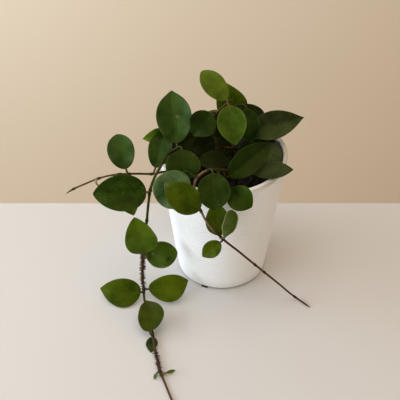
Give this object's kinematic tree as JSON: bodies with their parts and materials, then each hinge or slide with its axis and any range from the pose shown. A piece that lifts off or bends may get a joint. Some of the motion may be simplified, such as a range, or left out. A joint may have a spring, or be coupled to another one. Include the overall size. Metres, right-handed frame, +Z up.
{
  "type": "potted hoya plant",
  "caption": "Potted hoya house plant: a ribbed white tapered pot of soil with trailing vines and thick waxy oval leaves that hang over the rim and lie on the surface.",
  "frame": {"origin": "centre of the pot's foot, on the surface it stands on", "axes": "+Z up; -Y towards the front of the plant as pictured; +X to the right seen from the front"},
  "size_m": [0.2712, 0.3308, 0.2445],
  "materials": {
    "pot": "satin",
    "soil": "crumbly, matte",
    "vine": "satin bark",
    "leaf": "waxy"
  },
  "bodies": {
    "root": {"pot": "pot", "soil": "soil", "left_trail": "vine", "left_trail_leaf_1": "leaf", "left_trail_leaf_2": "leaf", "left_trail_leaf_3": "leaf", "left_trail_leaf_4": "leaf", "left_trail_leaf_5": "leaf", "left_trail_leaf_6": "leaf", "left_trail_leaf_7": "leaf", "left_trail_leaf_8": "leaf", "left_trail_leaf_9": "leaf", "left_trail_leaf_10": "leaf", "left_trail_leaf_11": "leaf", "left_shoot": "vine", "left_shoot_leaf_1": "leaf", "left_shoot_leaf_2": "leaf", "left_shoot_leaf_3": "leaf", "front_trail": "vine", "front_trail_leaf_1": "leaf", "front_trail_leaf_2": "leaf", "front_trail_leaf_3": "leaf", "front_trail_leaf_4": "leaf", "front_trail_leaf_5": "leaf", "front_trail_leaf_6": "leaf", "front_trail_leaf_7": "leaf", "front_trail_leaf_8": "leaf", "crown_stem": "vine", "crown_stem_leaf_1": "leaf", "crown_stem_leaf_2": "leaf", "crown_stem_leaf_3": "leaf", "right_shoot": "vine", "right_shoot_leaf_1": "leaf", "right_shoot_leaf_2": "leaf", "right_shoot_leaf_3": "leaf", "right_shoot_leaf_4": "leaf", "rim_shoot": "vine", "rim_shoot_leaf_1": "leaf", "rim_shoot_leaf_2": "leaf", "rim_shoot_leaf_3": "leaf", "rim_shoot_leaf_4": "leaf", "inner_shoot": "vine", "inner_shoot_leaf_1": "leaf", "inner_shoot_leaf_2": "leaf", "inner_shoot_leaf_3": "leaf", "inner_shoot_leaf_4": "leaf", "back_trail": "vine", "back_trail_leaf_1": "leaf", "back_trail_leaf_2": "leaf", "back_trail_leaf_3": "leaf", "back_trail_leaf_4": "leaf", "back_trail_leaf_5": "leaf", "back_trail_leaf_6": "leaf", "back_shoot": "vine", "back_shoot_leaf_1": "leaf", "back_shoot_leaf_2": "leaf", "back_shoot_leaf_3": "leaf", "back_shoot_leaf_4": "leaf", "back_shoot_leaf_5": "leaf", "back_shoot_leaf_6": "leaf"}
  },
  "joints": []
}
